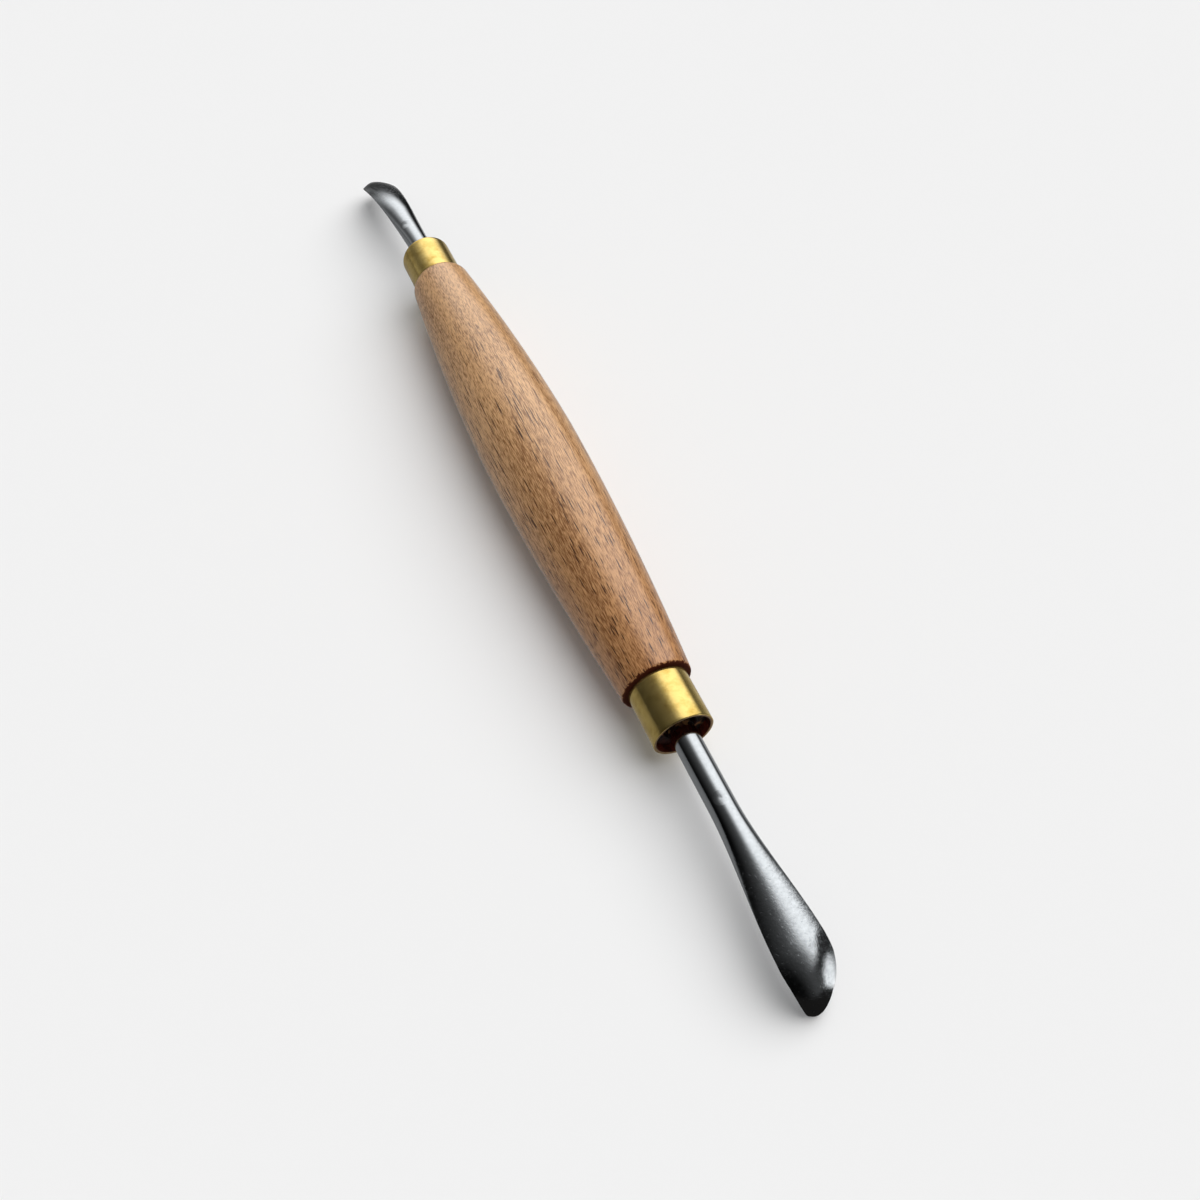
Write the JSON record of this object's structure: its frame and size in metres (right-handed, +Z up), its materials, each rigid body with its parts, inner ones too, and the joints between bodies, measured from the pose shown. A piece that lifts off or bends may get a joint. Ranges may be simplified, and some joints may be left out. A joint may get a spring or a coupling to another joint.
{
  "type": "leather modeling tool",
  "caption": "Double-ended leather modeling tool: barrel-shaped wooden handle with a brass ferrule and a curled, forged steel spoon at each end.",
  "frame": {"origin": "under the middle of the tool's box, on the surface it lies on", "axes": "+Y along the tool from the large spoon to the small one, +Z up, +X across the tool"},
  "size_m": [0.0176, 0.206, 0.0176],
  "materials": {
    "handle": "oiled beech, satin, fine pores along the grain",
    "ferrule": "drawn and lightly polished",
    "spoon": "polished shank, hammered and ground blade polished by hand",
    "adhesive": "set adhesive, dull dark brown"
  },
  "bodies": {
    "root": {"handle": "handle", "large_ferrule": "ferrule", "small_ferrule": "ferrule", "large_spoon": "spoon", "small_spoon": "spoon", "large_adhesive_bed": "adhesive", "small_adhesive_bed": "adhesive"}
  },
  "joints": []
}
